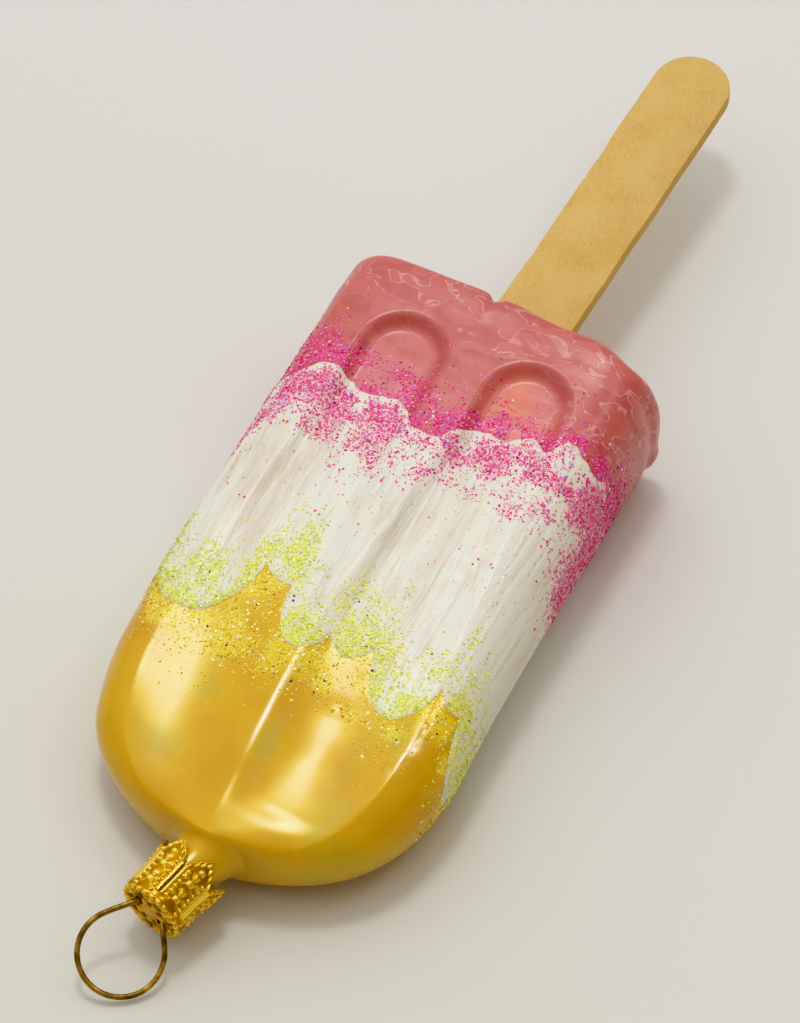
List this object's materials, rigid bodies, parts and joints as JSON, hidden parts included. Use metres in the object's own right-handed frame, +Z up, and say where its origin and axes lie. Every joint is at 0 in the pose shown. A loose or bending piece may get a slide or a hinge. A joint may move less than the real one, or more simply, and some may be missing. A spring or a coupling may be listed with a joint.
{
  "type": "ice pop ornament",
  "caption": "Hanging glass ornament shaped like an ice pop: fluted body under thick lacquer and glitter, flat wooden stick, pressed crown cap and wire ring.",
  "frame": {"origin": "bottom centre of the ornament's box, on the surface that it lies on", "axes": "+Y along the pop from the hanging ring to the free end of the stick, +X to its right side seen from the front, +Z up out of its front"},
  "size_m": [0.045, 0.1498, 0.0224],
  "materials": {
    "gold_lacquer": "satin pearl yellow gold lacquer on blown glass",
    "white_lacquer": "thick glossy warm white lacquer, brushed lengthwise",
    "coral_lacquer": "thick glossy wrinkled coral pink lacquer",
    "pink_glitter": "iridescent hot pink glitter flakes",
    "lime_glitter": "iridescent lime and yellow glitter flakes",
    "gilt_metal": "bright gilt, pressed and embossed thin sheet",
    "ring_wire": "drawn wire, dark antique brass",
    "stick_wood": "pale birch craft stick, matt and unvarnished"
  },
  "bodies": {
    "root": {"glass_body": "gold_lacquer", "crown_cap": "gilt_metal", "hanger_ring": "ring_wire", "stick": "stick_wood"}
  },
  "joints": []
}
